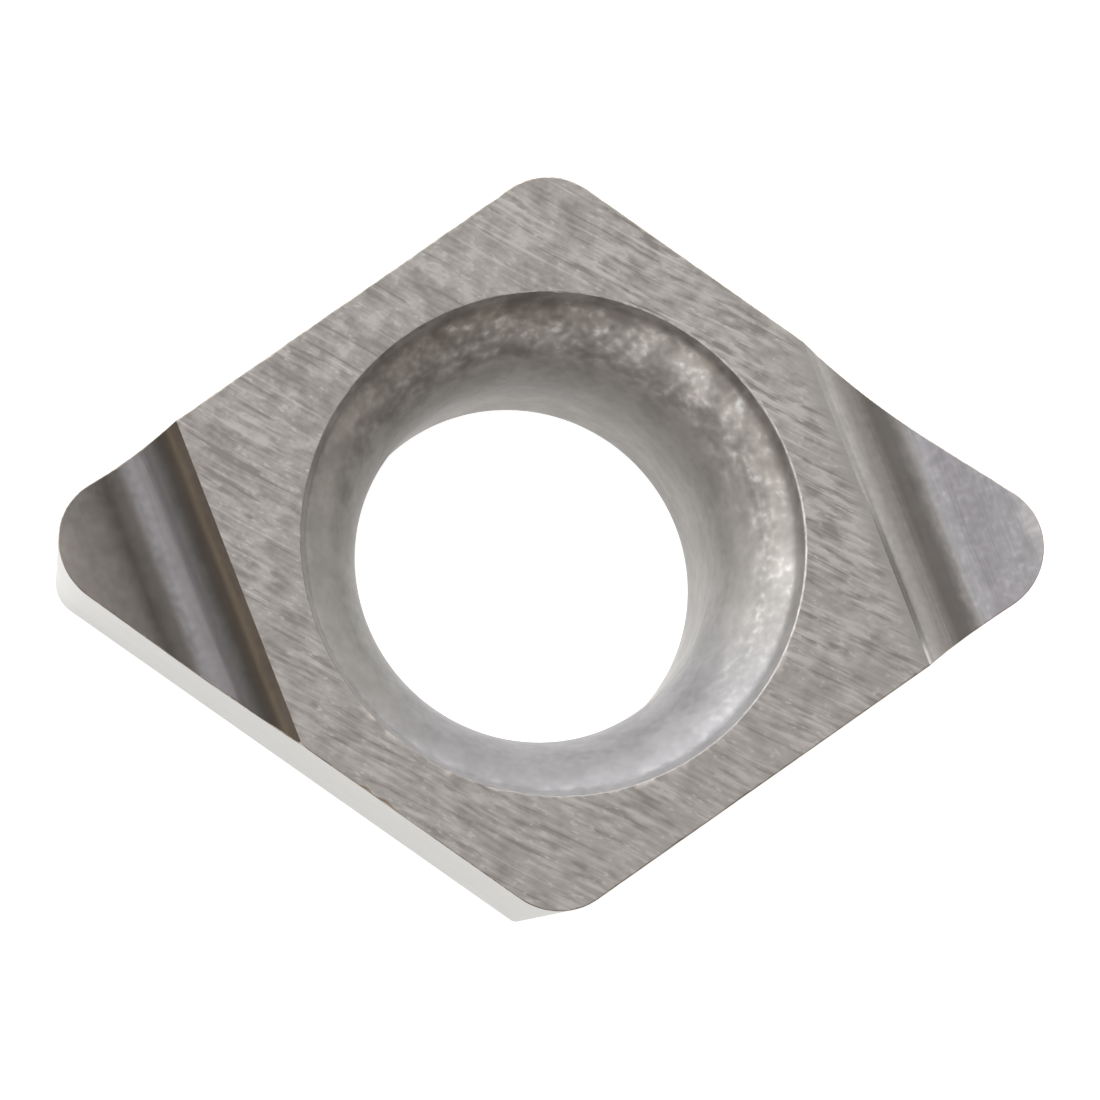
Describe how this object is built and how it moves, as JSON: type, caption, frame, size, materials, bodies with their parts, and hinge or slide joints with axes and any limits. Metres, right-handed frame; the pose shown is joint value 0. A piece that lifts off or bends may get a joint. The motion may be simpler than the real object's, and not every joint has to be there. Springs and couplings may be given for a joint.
{
  "type": "carbide insert",
  "caption": "Rhombic indexable carbide turning insert with leaning flanks, a countersunk screw hole and a slanted chip groove ground across each acute tip.",
  "frame": {"origin": "on the screw hole's axis, on the seating base", "axes": "+Z out of the ground top face along the screw hole; +X along the long diagonal to a cutting tip"},
  "size_m": [0.0062, 0.0046, 0.0018],
  "materials": {
    "carbide": "cemented tungsten carbide: ground top face, grooves and flanks, matt sintered screw seat"
  },
  "bodies": {
    "root": {"insert": "carbide"}
  },
  "joints": []
}
